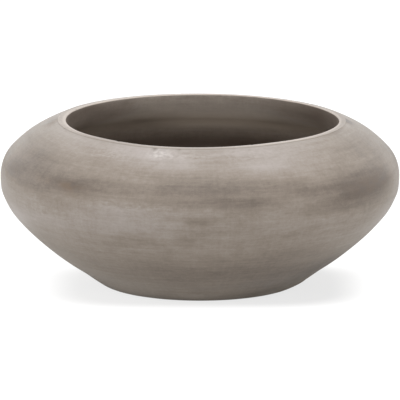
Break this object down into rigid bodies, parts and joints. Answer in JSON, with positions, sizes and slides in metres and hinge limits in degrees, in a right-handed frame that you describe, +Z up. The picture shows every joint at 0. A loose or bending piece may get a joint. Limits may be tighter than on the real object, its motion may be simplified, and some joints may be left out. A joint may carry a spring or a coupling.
{
  "type": "bowl planter",
  "caption": "Low round planter bowl: swelling belly, shoulder turned in to a wide round mouth, flat foot on thin pads, and a lift-out plug in its drain hole.",
  "frame": {"origin": "on the floor, at the middle of the bowl's four pads", "axes": "+Z up along the axis that the bowl is turned about; the pads lie on the diagonals between +X and +Y"},
  "size_m": [0.7, 0.6998, 0.289],
  "materials": {
    "cast_cement": "satin",
    "black_rubber": "matte"
  },
  "bodies": {
    "bowl": {"bowl": "cast_cement", "foot_pad_1": "black_rubber", "foot_pad_2": "black_rubber", "foot_pad_3": "black_rubber", "foot_pad_4": "black_rubber"},
    "drain_plug": {"drain_plug": "black_rubber"}
  },
  "joints": [
    {"name": "drain_plug_lift", "type": "slide", "parent": "bowl", "child": "drain_plug", "axis": [0, 0, 1], "range_m": [0, 0.3]}
  ]
}
